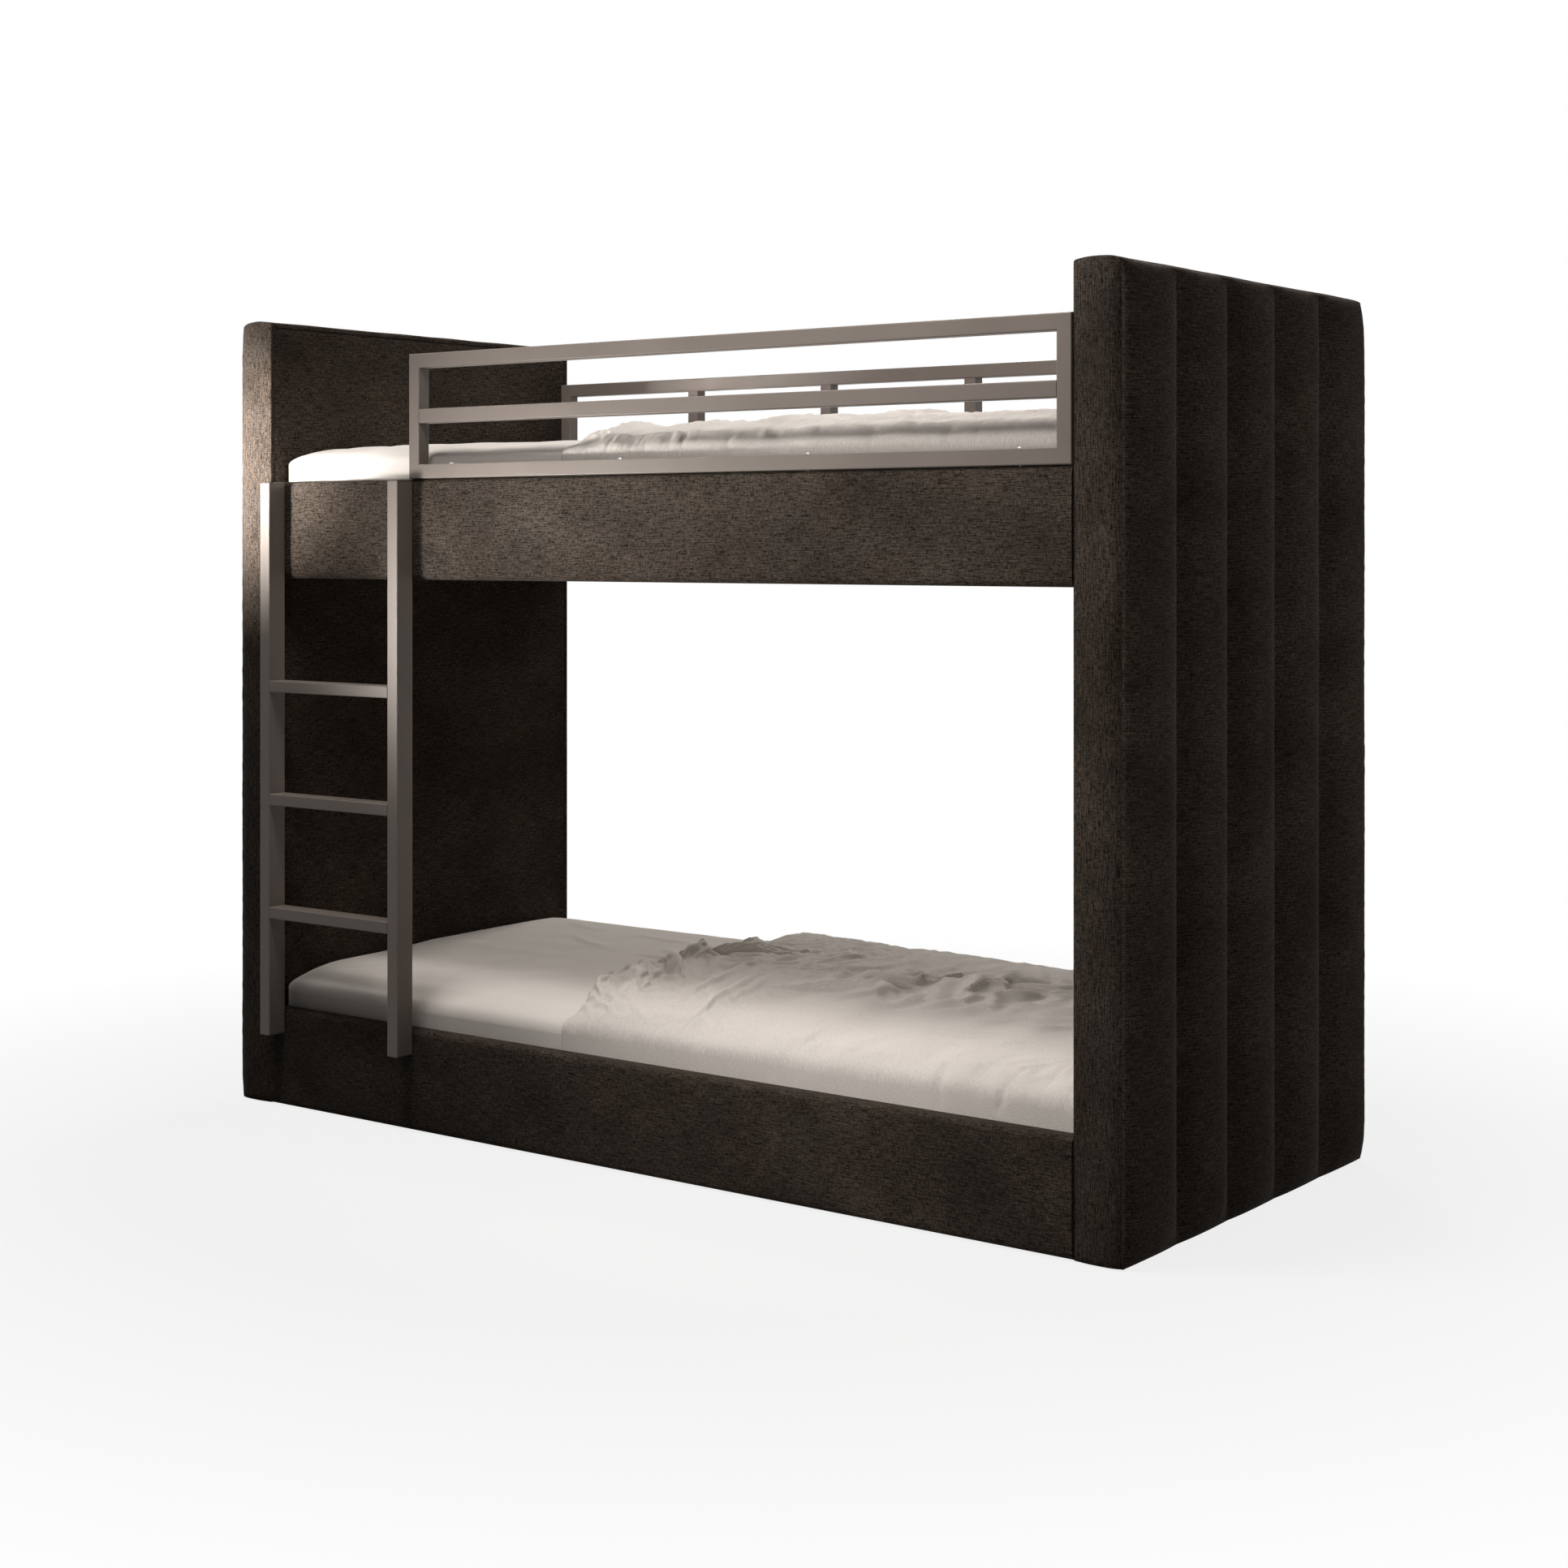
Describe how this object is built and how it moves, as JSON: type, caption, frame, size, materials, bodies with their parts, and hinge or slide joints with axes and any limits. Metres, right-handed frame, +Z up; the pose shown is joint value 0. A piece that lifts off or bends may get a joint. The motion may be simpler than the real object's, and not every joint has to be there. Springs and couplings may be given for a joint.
{
  "type": "bunk bed",
  "caption": "Bunk bed with full-height padded end panels sewn in upright channels, padded side rails, square-tube guards, a bolted ladder and made-up mattresses.",
  "frame": {"origin": "on the floor, at the middle of the rectangle that the bed and its ladder take up", "axes": "+X along the bed from the ladder's end to the other, +Y from the ladder side to the rear, +Z up"},
  "size_m": [2.2656, 1.025, 1.715],
  "materials": {
    "upholstery": "dark brown melange chenille weave",
    "powder_coat": "satin taupe powder coat",
    "timber": "planed softwood",
    "board": "plywood",
    "slat_wood": "planed birch",
    "zinc_steel": "bright zinc",
    "glide_plastic": "black moulded",
    "cap_plastic": "dark moulded",
    "mattress_cloth": "knitted ticking",
    "sheet_cotton": "smooth cotton",
    "duvet_cotton": "washed cotton twill"
  },
  "bodies": {
    "bed_frame": {"bracket_screws": "zinc_steel", "end_glides": "glide_plastic", "front_guard_bottom_tube": "powder_coat", "front_guard_left_post": "powder_coat", "front_guard_middle_tube": "powder_coat", "front_guard_right_post": "powder_coat", "front_guard_top_tube": "powder_coat", "guard_bolts": "zinc_steel", "ladder_bolts": "zinc_steel", "ladder_end_caps": "cap_plastic", "ladder_left_stringer": "powder_coat", "ladder_right_stringer": "powder_coat", "ladder_rung_1": "powder_coat", "ladder_rung_2": "powder_coat", "ladder_rung_3": "powder_coat", "left_end_backing_board": "board", "left_end_border": "upholstery", "left_end_channels": "upholstery", "left_end_frame": "timber", "left_end_inner_face": "upholstery", "lower_front_rail_core": "timber", "lower_front_rail_cover": "upholstery", "lower_rear_rail_core": "timber", "lower_rear_rail_cover": "upholstery", "lower_slat_ledges": "timber", "lower_slats": "slat_wood", "panel_bolts": "zinc_steel", "rail_brackets": "zinc_steel", "rear_guard_bottom_tube": "powder_coat", "rear_guard_inner_posts": "powder_coat", "rear_guard_left_post": "powder_coat", "rear_guard_right_post": "powder_coat", "rear_guard_top_tube": "powder_coat", "right_end_backing_board": "board", "right_end_border": "upholstery", "right_end_channels": "upholstery", "right_end_frame": "timber", "right_end_inner_face": "upholstery", "upper_front_rail_core": "timber", "upper_front_rail_cover": "upholstery", "upper_rear_rail_core": "timber", "upper_rear_rail_cover": "upholstery", "upper_slat_ledges": "timber", "upper_slats": "slat_wood"},
    "lower_mattress_body": {"lower_mattress": "mattress_cloth", "lower_fitted_sheet": "sheet_cotton"},
    "lower_duvet_body": {"lower_duvet": "duvet_cotton"},
    "upper_mattress_body": {"upper_mattress": "mattress_cloth", "upper_fitted_sheet": "sheet_cotton"},
    "upper_duvet_body": {"upper_duvet": "duvet_cotton"}
  },
  "joints": [
    {"name": "lower_mattress_lift", "type": "slide", "parent": "bed_frame", "child": "lower_mattress_body", "axis": [0, 0, 1], "range_m": [0, 0.2]},
    {"name": "lower_duvet_lift", "type": "slide", "parent": "lower_mattress_body", "child": "lower_duvet_body", "axis": [0, 0, 1], "range_m": [0, 0.2]},
    {"name": "upper_mattress_lift", "type": "slide", "parent": "bed_frame", "child": "upper_mattress_body", "axis": [0, 0, 1], "range_m": [0, 0.38]},
    {"name": "upper_duvet_lift", "type": "slide", "parent": "upper_mattress_body", "child": "upper_duvet_body", "axis": [0, 0, 1], "range_m": [0, 0.2]}
  ]
}
